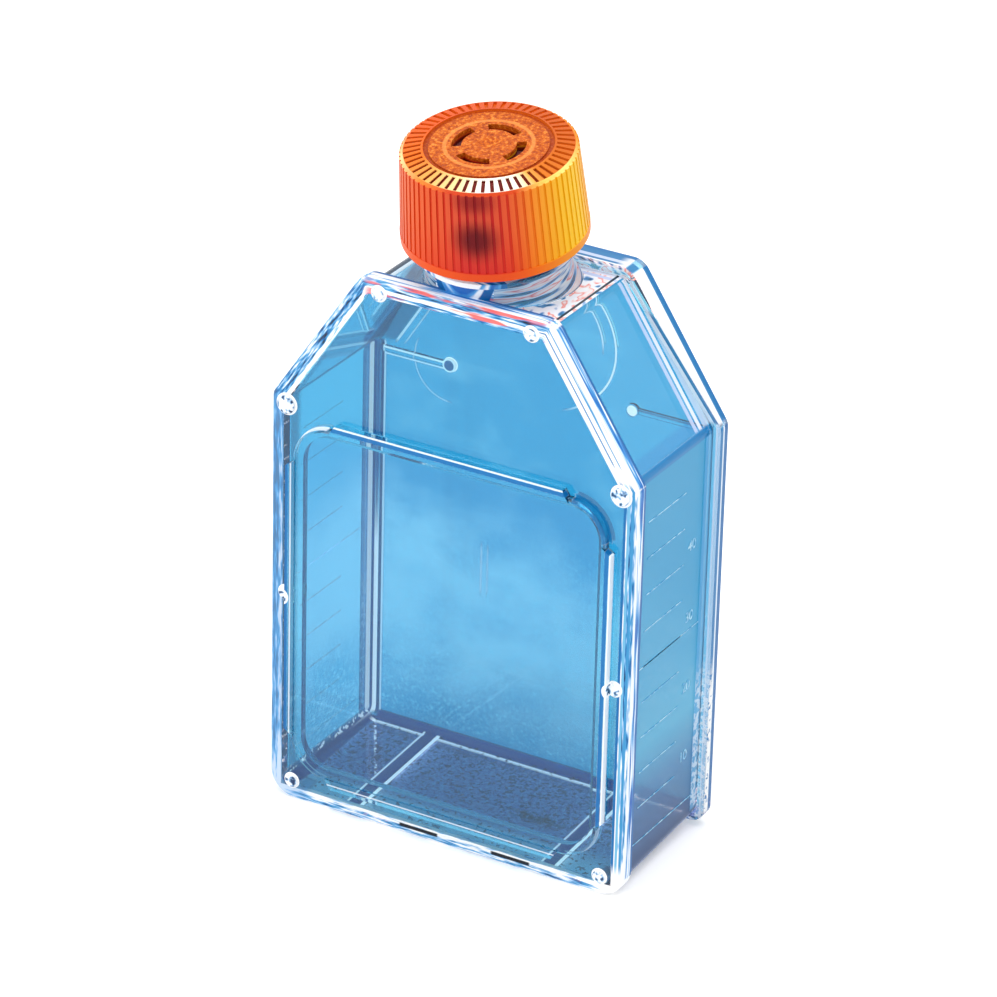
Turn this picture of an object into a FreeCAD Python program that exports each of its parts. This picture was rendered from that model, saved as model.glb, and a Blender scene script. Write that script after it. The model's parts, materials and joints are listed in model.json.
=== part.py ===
"""Rectangular 25 cm2 cell culture flask with a canted neck and a vented screw cap.

Millimetres. The flask stands on its end: +Z is up along its length, +X runs across its width and
+Y runs through its depth, from the welded front plate to the growth plate at the rear. The origin is
on the foot plane, in the middle of the width and in the plane of the rear rim, the side on which the
flask lies in use. The neck leans towards the front.
"""

import FreeCAD
import Part
import os

import Sketcher

Vector = FreeCAD.Vector

SIZES = {
    # Flask body, rim to rim
    "flask_width": 51.0,
    "flask_depth": 23.0,
    "shoulder_height": 56.0,
    "end_height": 74.6,
    "end_width": 26.2,
    "foot_corner_radius": 3.5,
    "shoulder_corner_radius": 2.0,
    "end_corner_radius": 2.5,
    # Walls and rims
    "side_wall": 1.0,
    "rear_wall": 1.0,
    "rim_overhang": 1.1,
    "rear_rim_depth": 2.0,
    "rear_rim_width": 1.6,
    "rear_rim_rise": 0.8,
    "rear_foot_radius": 2.0,
    "rear_recess": 0.3,
    "weld_rim_depth": 0.9,
    "rim_edge_chamfer": 0.3,
    "chamber_corner_radius": 1.8,
    "chamber_edge_radius": 1.2,
    # Ramp from the growth area up to the neck
    "ramp_start": 55.0,
    "ramp_angle": 7.0,
    "ridge_width": 0.8,
    "ridge_height": 0.35,
    "ridge_clearance": 0.8,
    "gate_offset": 12.6,
    "gate_radius": 0.9,
    "gate_height": 0.5,
    # The end wall's slope, and the ribs under it
    "foot_draft": 3.0,
    "foot_rib_offset": 14.5,
    "foot_rib_width": 1.4,
    "foot_rib_height": 1.1,
    # Neck
    "cant_angle": 10.0,
    "neck_offset": 12.5,
    "neck_length": 17.2,
    "neck_radius": 8.8,
    "bore_radius": 7.6,
    "neck_base_radius": 10.2,
    "neck_base_height": 1.4,
    "collar_radius": 9.7,
    "collar_position": 4.3,
    "collar_height": 1.3,
    "lip_chamfer": 0.4,
    # Front plate
    "plate_thickness": 1.2,
    "panel_width": 43.8,
    "panel_bottom": 4.5,
    "panel_top": 53.2,
    "panel_height": 1.0,
    "panel_corner_radius": 5.1,
    "panel_edge_chamfer": 0.3,
    "rail_width": 0.9,
    "rail_height": 1.2,
    "stud_radius": 0.9,
    "shoulder_stud_radius": 1.25,
    "stud_height": 0.5,
    "stud_inset": 2.2,
    "end_stud_offset": 10.5,
    "end_stud_inset": 1.8,
    "side_stud_height": 29.0,
    # Cap
    "cap_height": 12.15,
    "cap_bottom_radius": 11.4,
    "cap_top_radius": 10.7,
    "cap_bore_radius": 9.9,
    "cap_top_thickness": 1.25,
    "cap_band": 1.1,
    "rib_count": 70,
    "rib_depth": 0.15,
    "rib_width": 0.62,
    "crown_radius": 10.35,
    "crown_inner_radius": 7.85,
    "crown_drop": 0.5,
    "cap_edge_drop": 0.75,
    "serration_count": 56,
    "serration_inner_radius": 8.1,
    "serration_outer_radius": 10.2,
    "serration_width": 0.46,
    "serration_depth": 0.35,
    "ring_groove_width": 0.6,
    "ring_groove_depth": 0.3,
    "cap_disc_depth": 0.1,
    "vent_radius": 3.9,
    "vent_width": 1.2,
    "vent_angle": 62.0,
    "vent_count": 4,
    "hub_radius": 1.5,
    "hub_depth": 0.45,
    # Vent membrane, between the neck's lip and the cap's ceiling
    "membrane_radius": 9.2,
    "membrane_thickness": 0.3,
    "seal_gap": 0.1,
}

HALF_WIDTH = "sheet.flask_width / 2"
HALF_END = "sheet.end_width / 2"
RISE = "(sheet.end_height - sheet.shoulder_height)"
RUN = "(sheet.flask_width - sheet.end_width) / 2"
SLANT = f"hypot({RISE}; {RUN})"

WELD_Y = "(sheet.plate_thickness - sheet.flask_depth)"
FLOOR_Y = "(-sheet.rear_recess - sheet.rear_wall)"
WALL_INSET = "sheet.rim_overhang"
CHAMBER_INSET = "(sheet.rim_overhang + sheet.side_wall)"
SEAT_Z = "(sheet.end_height - sheet.rim_overhang)"

CAP_TOP = "(sheet.neck_length + 2 * sheet.seal_gap + sheet.membrane_thickness + sheet.cap_top_thickness)"
CAP_BOTTOM = f"({CAP_TOP} - sheet.cap_height)"
CEILING = f"({CAP_TOP} - sheet.cap_top_thickness)"


def make_sheet(doc):
    sheet = doc.addObject("Spreadsheet::Sheet", "sheet")
    for row, (name, size) in enumerate(SIZES.items(), start=1):
        sheet.set(f"A{row}", name)
        sheet.set(f"B{row}", str(size))
        sheet.setAlias(f"B{row}", name)
    doc.recompute()
    return sheet


def make_body(doc, name):
    body = doc.addObject("PartDesign::Body", name)
    body.Label = name
    return body


def sketch_on(body, name, role, shift="0"):
    """A sketch on one of the body's origin planes, moved along that plane's normal."""
    sketch = body.newObject("Sketcher::SketchObject", name)
    plane = next(item for item in body.Origin.OriginFeatures if item.Role == role)
    sketch.AttachmentSupport = [(plane, "")]
    sketch.MapMode = "FlatFace"
    sketch.setExpression("AttachmentOffset.Base.z", shift)
    return sketch


def neck_sketch(body, name):
    """A sketch in the YZ plane whose vertical axis is the neck's axis, from the end wall upwards."""
    sketch = sketch_on(body, name, "YZ_Plane")
    sketch.setExpression("AttachmentOffset.Base.x", "-sheet.neck_offset")
    sketch.setExpression("AttachmentOffset.Base.y", SEAT_Z)
    sketch.setExpression("AttachmentOffset.Rotation.Angle", "sheet.cant_angle")
    return sketch


def number(owner, expression):
    value = owner.evalExpression(expression)
    return float(getattr(value, "Value", value))


def pin_point(sketch, geometry, corner, x, y):
    """Hold one point of the sketch at two expressions."""
    for kind, expression in (("DistanceX", x), ("DistanceY", y)):
        size = number(sketch, expression)
        row = sketch.addConstraint(Sketcher.Constraint(kind, -1, 1, geometry, corner, size))
        sketch.setExpression(f"Constraints[{row}]", expression)


def add_loop(sketch, corners):
    """A closed loop of straight lines through corners given as pairs of expressions."""
    points = [Vector(number(sketch, x), number(sketch, y), 0) for x, y in corners]
    first = sketch.GeometryCount
    count = len(corners)
    for i in range(count):
        sketch.addGeometry(Part.LineSegment(points[i], points[(i + 1) % count]), False)
    for i in range(count):
        sketch.addConstraint(
            Sketcher.Constraint("Coincident", first + i, 2, first + (i + 1) % count, 1))
    for i, (x, y) in enumerate(corners):
        pin_point(sketch, first + i, 1, x, y)


def add_circle(sketch, x, y, radius):
    centre = Vector(number(sketch, x), number(sketch, y), 0)
    size = number(sketch, radius)
    row = sketch.addGeometry(Part.Circle(centre, Vector(0, 0, 1), size), False)
    pin_point(sketch, row, 3, x, y)
    rule = sketch.addConstraint(Sketcher.Constraint("Radius", row, size))
    sketch.setExpression(f"Constraints[{rule}]", radius)


def outline(sketch, inset="0", foot=None):
    """The flask's six-sided outline, with every side moved inwards by the same inset.

    The lowest side can be at a height of its own.
    """
    low = foot or inset
    side = f"{HALF_WIDTH} - {inset}"
    shoulder = f"sheet.shoulder_height - {inset} * ({SLANT} - {RISE}) / ({RUN})"
    end = f"{HALF_END} - {inset} * ({SLANT} - {RUN}) / {RISE}"
    top = f"sheet.end_height - {inset}"
    add_loop(sketch, [
        (f"-({side})", low),
        (side, low),
        (side, shoulder),
        (end, top),
        (f"-({end})", top),
        (f"-({side})", shoulder),
    ])


def pad(body, name, sketch, length, reversed_=False, midplane=False):
    feature = body.newObject("PartDesign::Pad", name)
    feature.Profile = sketch
    feature.setExpression("Length", length)
    feature.Reversed = reversed_
    feature.Midplane = midplane
    body.Document.recompute()
    return feature


def pocket(body, name, sketch, length, reversed_=False, midplane=False):
    """A pocket that has to take something away."""
    before = body.Shape.Volume
    feature = body.newObject("PartDesign::Pocket", name)
    feature.Profile = sketch
    feature.setExpression("Length", length)
    feature.Reversed = reversed_
    feature.Midplane = midplane
    body.Document.recompute()
    if body.Shape.Volume >= before:
        raise RuntimeError(f"{name} cuts nothing")
    return feature


def revolve(body, name, sketch, kind="Revolution", angle="360"):
    feature = body.newObject(f"PartDesign::{kind}", name)
    feature.Profile = sketch
    feature.ReferenceAxis = (sketch, ["V_Axis"])
    feature.Midplane = True
    feature.setExpression("Angle", angle)
    body.Document.recompute()
    return feature


def depth_edges(shape, low_y, high_y, chosen):
    """Names of the straight edges along Y, centred between two depths, whose height is chosen."""
    names = []
    for row, edge in enumerate(shape.Edges, start=1):
        start, end = edge.Vertexes[0].Point, edge.Vertexes[-1].Point
        along = abs(end.y - start.y)
        straight = along > 0.1 and edge.Length < along * 1.01
        if straight and low_y < (start.y + end.y) / 2 < high_y and chosen(start.z):
            names.append(f"Edge{row}")
    return names


def face_edges(shape, y):
    """Names of the edges that lie in the plane at this depth."""
    names = []
    for row, edge in enumerate(shape.Edges, start=1):
        box = edge.BoundBox
        if abs(box.YMin - y) < 1e-4 and abs(box.YMax - y) < 1e-4:
            names.append(f"Edge{row}")
    return names


def fillet(body, name, edges, radius):
    base = body.Tip
    feature = body.newObject("PartDesign::Fillet", name)
    feature.Base = (base, edges)
    feature.setExpression("Radius", radius)
    body.Document.recompute()
    return feature


def chamfer(body, name, edges, size):
    base = body.Tip
    feature = body.newObject("PartDesign::Chamfer", name)
    feature.Base = (base, edges)
    feature.setExpression("Size", size)
    body.Document.recompute()
    return feature


def round_outline(body, name, low_y, high_y, radii):
    """Round an outline's corners: two at the foot, two at the shoulders, two beside the neck."""
    sheet = body.Document.getObject("sheet")
    middle = (sheet.shoulder_height + sheet.end_height) / 2

    def zone_of(z):
        if z > middle:
            return "end"
        return "shoulder" if z > sheet.shoulder_height / 2 else "foot"

    for zone, radius in zip(("foot", "shoulder", "end"), radii):
        chosen = depth_edges(body.Tip.Shape, low_y, high_y, lambda z: zone_of(z) == zone)
        fillet(body, f"{name}_{zone}", chosen, radius)


def corner_radii(inset="0"):
    """The outline's three corner radii, on a line that runs at an inset from it."""
    return [f"max(sheet.{zone}_corner_radius - {inset}; sheet.rim_edge_chamfer)"
            for zone in ("foot", "shoulder", "end")]


def ramp_profile(sketch, face_y, reach):
    """Side view of what lies in front of the ramp: upright at face_y, then leaning forwards.

    The loop runs forwards from that line by the given reach.
    """
    margin = 5
    lean = f"({face_y} - (sheet.end_height + {margin} - sheet.ramp_start) * tan(sheet.ramp_angle))"
    front = f"({face_y} - {reach})"
    top = f"sheet.end_height + {margin}"
    add_loop(sketch, [
        (front, f"-{margin}"),
        (face_y, f"-{margin}"),
        (face_y, "sheet.ramp_start"),
        (lean, top),
        (front, top),
    ])


def foot_slope(sketch, back, inset):
    """Side view of what lies below the end wall, which slopes down towards the weld."""
    front = f"({WELD_Y} - sheet.plate_thickness)"
    low = "-sheet.rim_overhang"
    add_loop(sketch, [
        (front, f"{inset} - ({back} - {front}) * tan(sheet.foot_draft)"),
        (back, inset),
        (back, low),
        (front, low),
    ])


def ramp_wedge(sketch, face_y):
    """Side view of the wedge behind the ramp, between its slope and the upright line at face_y."""
    margin = 5
    lean = f"({face_y} - (sheet.end_height + {margin} - sheet.ramp_start) * tan(sheet.ramp_angle))"
    top = f"sheet.end_height + {margin}"
    add_loop(sketch, [(face_y, "sheet.ramp_start"), (face_y, top), (lean, top)])


def make_shell(doc):
    """The outside of the moulded flask: rear rim, walls, weld rim, foot ribs and neck."""
    body = make_body(doc, "shell")
    sheet = doc.getObject("sheet")
    wide = "2 * sheet.flask_width"
    weld = number(sheet, WELD_Y)
    middle = "sheet.flask_depth / 2"

    # The rear rim starts as a slab, whose front face leans forwards above the growth area.
    sketch = sketch_on(body, "rear_rim_outline", "XZ_Plane")
    outline(sketch, foot="sheet.rear_rim_rise")
    pad(body, "rear_rim", sketch, middle)
    rim_radii = ["sheet.rear_foot_radius"] + corner_radii()[1:]
    round_outline(body, "rear_rim_corner", weld, 0, rim_radii)
    sketch = sketch_on(body, "rear_rim_slope", "YZ_Plane")
    ramp_profile(sketch, "(-sheet.rear_rim_depth)", "sheet.flask_depth")
    pocket(body, "rear_rim_face", sketch, wide, midplane=True)
    chamfer(body, "rear_rim_edge", face_edges(body.Tip.Shape, 0), "sheet.rim_edge_chamfer")

    # The walls run from the weld to the rear rim. The end wall slopes.
    sketch = sketch_on(body, "wall_outline", "XZ_Plane", f"-{WELD_Y}")
    outline(sketch, WALL_INSET, "0")
    wall_depth = f"-sheet.rear_rim_depth - {WELD_Y}"
    pad(body, "walls", sketch, wall_depth, reversed_=True)
    sketch = sketch_on(body, "foot_slope_side", "YZ_Plane")
    foot_slope(sketch, "(-sheet.rear_rim_depth)", WALL_INSET)
    pocket(body, "foot_slope", sketch, wide, midplane=True)
    round_outline(body, "wall_corner", weld * 3 / 4, weld / 4, corner_radii(WALL_INSET))

    # The weld rim carries the front plate.
    sketch = sketch_on(body, "weld_rim_outline", "XZ_Plane", f"-{WELD_Y}")
    outline(sketch)
    pad(body, "weld_rim", sketch, "sheet.weld_rim_depth", reversed_=True)
    back = weld + sheet.weld_rim_depth
    round_outline(body, "weld_rim_corner", weld, back, corner_radii())

    # Two ribs under the end wall run from rim to rim.
    sketch = sketch_on(body, "foot_rib_ends", "XZ_Plane", f"-{WELD_Y}")
    for side in ("", "-"):
        inner = f"{side}(sheet.foot_rib_offset - sheet.foot_rib_width / 2)"
        outer = f"{side}(sheet.foot_rib_offset + sheet.foot_rib_width / 2)"
        low = "sheet.rim_overhang - sheet.foot_rib_height"
        high = "sheet.rim_overhang + sheet.side_wall / 2"
        add_loop(sketch, [(inner, low), (outer, low), (outer, high), (inner, high)])
    pad(body, "foot_ribs", sketch, wall_depth, reversed_=True)

    # The neck is turned about its own canted axis, and trimmed flush with the weld face below.
    sketch = neck_sketch(body, "neck_profile")
    sunk = "-sheet.side_wall * 3"
    bead = "sheet.collar_height / 4"
    collar_top = "sheet.collar_position + sheet.collar_height"
    add_loop(sketch, [
        ("0", sunk),
        ("sheet.neck_base_radius", sunk),
        ("sheet.neck_base_radius", "-sheet.side_wall"),
        ("sheet.neck_radius", "sheet.neck_base_height"),
        ("sheet.neck_radius", "sheet.collar_position"),
        ("sheet.collar_radius", f"sheet.collar_position + {bead}"),
        ("sheet.collar_radius", f"{collar_top} - {bead}"),
        ("sheet.neck_radius", collar_top),
        ("sheet.neck_radius", "sheet.neck_length - sheet.lip_chamfer"),
        ("sheet.neck_radius - sheet.lip_chamfer", "sheet.neck_length"),
        ("0", "sheet.neck_length"),
    ])
    revolve(body, "neck", sketch)
    sketch = sketch_on(body, "plate_seat_outline", "XZ_Plane", f"-{WELD_Y}")
    span = "2 * sheet.neck_base_radius"
    add_loop(sketch, [
        (f"-{span}", "sheet.shoulder_height"),
        (span, "sheet.shoulder_height"),
        (span, "sheet.end_height"),
        (f"-{span}", "sheet.end_height"),
    ])
    pocket(body, "plate_seat", sketch, "sheet.neck_base_radius", reversed_=True)
    return body


def make_chamber(doc):
    """The hollow inside: the chamber with its ramp, and the neck's bore."""
    body = make_body(doc, "chamber")
    sheet = doc.getObject("sheet")
    weld = number(sheet, WELD_Y)
    floor = number(sheet, FLOOR_Y)
    lead_in = "2 * sheet.chamber_edge_radius"

    sketch = sketch_on(body, "chamber_outline", "XZ_Plane", f"-{WELD_Y} + {lead_in}")
    outline(sketch, CHAMBER_INSET, "0")
    pad(body, "chamber_block", sketch, f"{FLOOR_Y} - {WELD_Y} + {lead_in}", reversed_=True)
    sketch = sketch_on(body, "chamber_slope_side", "YZ_Plane")
    foot_slope(sketch, FLOOR_Y, CHAMBER_INSET)
    pocket(body, "chamber_slope", sketch, "2 * sheet.flask_width", midplane=True)
    round_outline(body, "chamber_corner", weld, floor, ["sheet.chamber_corner_radius"] * 3)
    fillet(body, "chamber_edge", face_edges(body.Tip.Shape, floor), "sheet.chamber_edge_radius")
    sketch = sketch_on(body, "ramp_side", "YZ_Plane")
    ramp_wedge(sketch, FLOOR_Y)
    pocket(body, "ramp", sketch, "2 * sheet.flask_width", midplane=True)

    # A low ridge on each side of the ramp's start, from the wall to a round gate mark.
    sketch = sketch_on(body, "ridge_outline", "XZ_Plane", f"-{FLOOR_Y}")
    for side in ("", "-"):
        inner = f"{side}sheet.gate_offset"
        outer = f"{side}({HALF_WIDTH} - {CHAMBER_INSET} - sheet.ridge_clearance)"
        low = "sheet.ramp_start - sheet.ridge_width"
        add_loop(sketch, [(inner, low), (outer, low), (outer, "sheet.ramp_start"),
                          (inner, "sheet.ramp_start")])
    pocket(body, "ridges", sketch, "sheet.ridge_height", reversed_=True)
    sketch = sketch_on(body, "gate_outline", "XZ_Plane", f"-{FLOOR_Y}")
    for side in ("", "-"):
        add_circle(sketch, f"{side}sheet.gate_offset", "sheet.ramp_start - sheet.ridge_width / 2",
                   "sheet.gate_radius")
    pocket(body, "gates", sketch, "sheet.gate_height", reversed_=True)

    sketch = neck_sketch(body, "bore_profile")
    flare = "sheet.bore_radius + sheet.lip_chamfer"
    over = "sheet.neck_length + sheet.lip_chamfer"
    add_loop(sketch, [
        ("0", "-sheet.bore_radius / 2"),
        ("sheet.bore_radius", "-sheet.bore_radius / 2"),
        ("sheet.bore_radius", "sheet.neck_length - sheet.lip_chamfer"),
        (flare, "sheet.neck_length"),
        (flare, over),
        ("0", over),
    ])
    revolve(body, "bore", sketch)
    return body


def make_recess(doc):
    """The hollow behind the growth plate and its ramp, inside the rear rim."""
    body = make_body(doc, "recess")
    weld = number(doc.getObject("sheet"), WELD_Y)
    margin = "sheet.rear_rim_depth"
    sketch = sketch_on(body, "recess_outline", "XZ_Plane", f"-{margin}")
    outline(sketch, "sheet.rear_rim_width", "(sheet.rear_rim_rise + sheet.rear_rim_width)")
    pad(body, "recess_block", sketch, f"sheet.flask_depth / 2 + {margin}")
    radii = ["sheet.chamber_corner_radius"] * 3
    round_outline(body, "recess_corner", weld, 0, radii)
    sketch = sketch_on(body, "recess_slope", "YZ_Plane")
    ramp_profile(sketch, "(-sheet.rear_recess)", "sheet.flask_depth")
    pocket(body, "recess_face", sketch, "2 * sheet.flask_width", midplane=True)
    return body


def make_flask_body(doc):
    """The moulded tray and neck: the shell less its hollows."""
    hollows = doc.addObject("Part::MultiFuse", "hollows")
    hollows.Shapes = [make_chamber(doc), make_recess(doc)]
    flask = doc.addObject("Part::Cut", "flask_body")
    flask.Label = "flask_body"
    flask.Base = make_shell(doc)
    flask.Tool = hollows
    doc.recompute()
    return flask


def panel_loop(sketch, inset="0"):
    side = f"(sheet.panel_width / 2 - {inset})"
    low = f"(sheet.panel_bottom + {inset})"
    high = f"(sheet.panel_top - {inset})"
    add_loop(sketch, [(f"-{side}", low), (side, low), (side, high), (f"-{side}", high)])


def rail_loops(sketch):
    """Four straight rails round the panel, with bevelled ends that stop where its corners start."""
    side = "sheet.panel_width / 2"
    lap = "sheet.rail_width / 2"
    straight = f"({side} - sheet.panel_corner_radius)"
    for sign in ("", "-"):
        inner = f"{sign}({side} - {lap})"
        outer = f"{sign}({side} + sheet.rail_width)"
        low = "sheet.panel_bottom + sheet.panel_corner_radius"
        high = "sheet.panel_top - sheet.panel_corner_radius"
        add_loop(sketch, [(inner, low), (outer, f"{low} + sheet.rail_width"),
                          (outer, f"{high} - sheet.rail_width"), (inner, high)])
    for edge, sign in (("sheet.panel_top", "+"), ("sheet.panel_bottom", "-")):
        back = "-" if sign == "+" else "+"
        inner = f"{edge} {back} {lap}"
        outer = f"{edge} {sign} sheet.rail_width"
        add_loop(sketch, [(f"-{straight}", inner), (f"-({straight} - sheet.rail_width)", outer),
                          (f"{straight} - sheet.rail_width", outer), (straight, inner)])


def make_front_plate(doc):
    """The plate welded on at the front: a flat rim, a raised panel with rails, and round studs."""
    body = make_body(doc, "front_plate")
    sheet = doc.getObject("sheet")
    face = -sheet.flask_depth
    weld = number(sheet, WELD_Y)
    radii = ["sheet.panel_corner_radius"] * 3

    sketch = sketch_on(body, "plate_outline", "XZ_Plane", "sheet.flask_depth")
    outline(sketch)
    pad(body, "plate", sketch, "sheet.plate_thickness", reversed_=True)
    round_outline(body, "plate_corner", face, weld, corner_radii())
    chamfer(body, "plate_edge", face_edges(body.Tip.Shape, face), "sheet.rim_edge_chamfer")

    sketch = sketch_on(body, "panel_outline", "XZ_Plane", "sheet.flask_depth")
    panel_loop(sketch)
    pad(body, "panel", sketch, "sheet.panel_height")
    front = face - sheet.panel_height
    corners = depth_edges(body.Tip.Shape, front, face, lambda z: True)
    fillet(body, "panel_corner", corners, "sheet.panel_corner_radius")
    chamfer(body, "panel_edge", face_edges(body.Tip.Shape, front), "sheet.panel_edge_chamfer")

    sketch = sketch_on(body, "panel_back_outline", "XZ_Plane", f"-{WELD_Y}")
    panel_loop(sketch, "sheet.plate_thickness")
    pocket(body, "panel_back", sketch, "sheet.panel_height", reversed_=True)
    deep = weld - sheet.panel_height
    corners = depth_edges(body.Tip.Shape, deep, weld, lambda z: True)
    inner_corner = "max(sheet.panel_corner_radius - sheet.plate_thickness; sheet.panel_edge_chamfer)"
    inner_side = sheet.panel_width / 2 - sheet.plate_thickness
    fillet(body, "panel_back_corner", inside_edges(body.Tip.Shape, corners, inner_side), inner_corner)

    sketch = sketch_on(body, "stud_outline", "XZ_Plane", "sheet.flask_depth")
    side = f"{HALF_WIDTH} - sheet.stud_inset"
    shoulder = "sheet.shoulder_height - sheet.stud_inset / 2"
    for sign in ("", "-"):
        add_circle(sketch, f"{sign}sheet.end_stud_offset",
                   "sheet.end_height - sheet.end_stud_inset", "sheet.stud_radius")
        add_circle(sketch, f"{sign}({side})", shoulder, "sheet.shoulder_stud_radius")
        add_circle(sketch, f"{sign}({side})", "sheet.side_stud_height", "sheet.stud_radius")
        add_circle(sketch, f"{sign}({side} - sheet.stud_inset / 2)",
                   "sheet.foot_corner_radius - sheet.stud_radius", "sheet.stud_radius")
    pad(body, "studs", sketch, "sheet.stud_height")
    tips = face_edges(body.Tip.Shape, face - sheet.stud_height)
    chamfer(body, "stud_tips", tips, "sheet.stud_height / 2")

    sketch = sketch_on(body, "rail_outline", "XZ_Plane", "sheet.flask_depth")
    rail_loops(sketch)
    pad(body, "rails", sketch, "sheet.rail_height")
    return body


def inside_edges(shape, names, half_width):
    """Those of the named edges that lie no further out than half_width."""
    chosen = []
    for name in names:
        edge = shape.Edges[int(name[4:]) - 1]
        if abs(edge.Vertexes[0].Point.x) < half_width + 1e-6:
            chosen.append(name)
    return chosen


def stand_on_neck(body):
    """Place a body on the neck: its +Z runs along the canted axis, from the end wall upwards."""
    body.Placement = FreeCAD.Placement(Vector(0, 0, 0), FreeCAD.Rotation(Vector(1, 0, 0), 1))
    body.setExpression("Placement.Base.y", "-sheet.neck_offset")
    body.setExpression("Placement.Base.z", SEAT_Z)
    body.setExpression("Placement.Rotation.Angle", "sheet.cant_angle")


def polar_pattern(body, name, originals, count):
    feature = body.newObject("PartDesign::PolarPattern", name)
    feature.Originals = originals
    axis = next(item for item in body.Origin.OriginFeatures if item.Role == "Z_Axis")
    feature.Axis = (axis, [""])
    feature.Angle = 360
    feature.setExpression("Occurrences", count)
    body.Tip = feature
    body.Document.recompute()
    return feature


def make_cap(doc):
    """The screw cap: a tapered ribbed shell, a low conical crown with serrations, and vent slots."""
    body = make_body(doc, "screw_cap")
    stand_on_neck(body)
    bottom, top = "sheet.cap_bottom_radius", "sheet.cap_top_radius"
    depth = "sheet.rib_depth"
    band_top = f"{CAP_BOTTOM} + sheet.cap_band"
    edge = f"{CAP_TOP} - sheet.cap_edge_drop"
    groove = f"{CAP_TOP} - sheet.ring_groove_depth"
    disc = f"{CAP_TOP} - sheet.cap_disc_depth"
    groove_inner = "sheet.crown_inner_radius - sheet.ring_groove_width"

    sketch = sketch_on(body, "cap_profile", "XZ_Plane")
    add_loop(sketch, [
        ("sheet.cap_bore_radius", CAP_BOTTOM),
        (bottom, CAP_BOTTOM),
        (bottom, band_top),
        (f"{bottom} - {depth}", band_top),
        (f"{top} - {depth}", edge),
        ("sheet.crown_radius", f"{CAP_TOP} - sheet.crown_drop"),
        ("sheet.crown_inner_radius", CAP_TOP),
        ("sheet.crown_inner_radius", groove),
        (groove_inner, groove),
        (groove_inner, disc),
        ("sheet.hub_radius", disc),
        ("0", f"{disc} - sheet.hub_depth"),
        ("0", CEILING),
        ("sheet.cap_bore_radius", CEILING),
    ])
    revolve(body, "cap_shell", sketch)

    # Low ribs climb the side from the plain band to the cap's edge.
    sketch = sketch_on(body, "rib_profile", "XZ_Plane")
    root = f"2 * {depth}"
    foot = f"{band_top} - {depth}"
    add_loop(sketch, [
        (f"{bottom} - {root}", foot),
        (f"{bottom} - {depth} / 5", foot),
        (top, edge),
        (f"{top} - {root}", edge),
    ])
    rib = pad(body, "rib", sketch, "sheet.rib_width", midplane=True)
    polar_pattern(body, "ribs", [rib], "sheet.rib_count")

    # Straight cuts with parallel sides follow the crown's slope, and leave a whole rim round them.
    sketch = sketch_on(body, "serration_profile", "XZ_Plane")
    slope = "sheet.crown_drop / (sheet.crown_radius - sheet.crown_inner_radius)"
    ends = ("sheet.serration_inner_radius", "sheet.serration_outer_radius")
    floor = [f"{CAP_TOP} - sheet.serration_depth - ({end} - sheet.crown_inner_radius) * {slope}"
             for end in ends]
    above = f"{CAP_TOP} + {depth}"
    add_loop(sketch, [(ends[0], floor[0]), (ends[1], floor[1]), (ends[1], above), (ends[0], above)])
    serration = pocket(body, "serration", sketch, "sheet.serration_width", midplane=True)
    polar_pattern(body, "serrations", [serration], "sheet.serration_count")

    sketch = sketch_on(body, "vent_profile", "XZ_Plane")
    inner = "sheet.vent_radius - sheet.vent_width / 2"
    outer = "sheet.vent_radius + sheet.vent_width / 2"
    low = f"{CEILING} - sheet.seal_gap"
    high = f"{CAP_TOP} + sheet.seal_gap"
    add_loop(sketch, [(inner, low), (outer, low), (outer, high), (inner, high)])
    vent = revolve(body, "vent", sketch, "Groove", "sheet.vent_angle")
    polar_pattern(body, "vents", [vent], "sheet.vent_count")
    return body


def make_membrane(doc):
    """The round vent membrane that seals on the neck's lip and breathes through the cap's slots."""
    body = make_body(doc, "vent_membrane")
    stand_on_neck(body)
    sketch = sketch_on(body, "membrane_outline", "XY_Plane", "sheet.neck_length + sheet.seal_gap")
    add_circle(sketch, "0", "0", "sheet.membrane_radius")
    pad(body, "membrane", sketch, "sheet.membrane_thickness")
    return body


def check(doc, nodes):
    for item in doc.Objects:
        if {"Invalid", "Error"} & set(item.State):
            raise RuntimeError(f"{item.Name} failed to build")
    for node in nodes:
        if node.Shape.isNull() or not node.Shape.isValid() or not node.Shape.Solids:
            raise RuntimeError(f"{node.Label} is not a sound solid")


def main():
    doc = FreeCAD.newDocument("flask")
    make_sheet(doc)
    nodes = [make_flask_body(doc), make_front_plate(doc), make_cap(doc), make_membrane(doc)]
    doc.recompute()
    check(doc, nodes)
    os.makedirs("parts", exist_ok=True)
    for node in nodes:
        node.Shape.exportStep(f"parts/{node.Label}.step")
        print(node.Label, len(node.Shape.Solids), round(node.Shape.Volume, 3))


main()
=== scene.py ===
"""Looks of a clear cell culture flask with an orange vented screw cap."""

import json
import math

import bmesh
import bpy
from mathutils import Matrix, Vector


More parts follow.
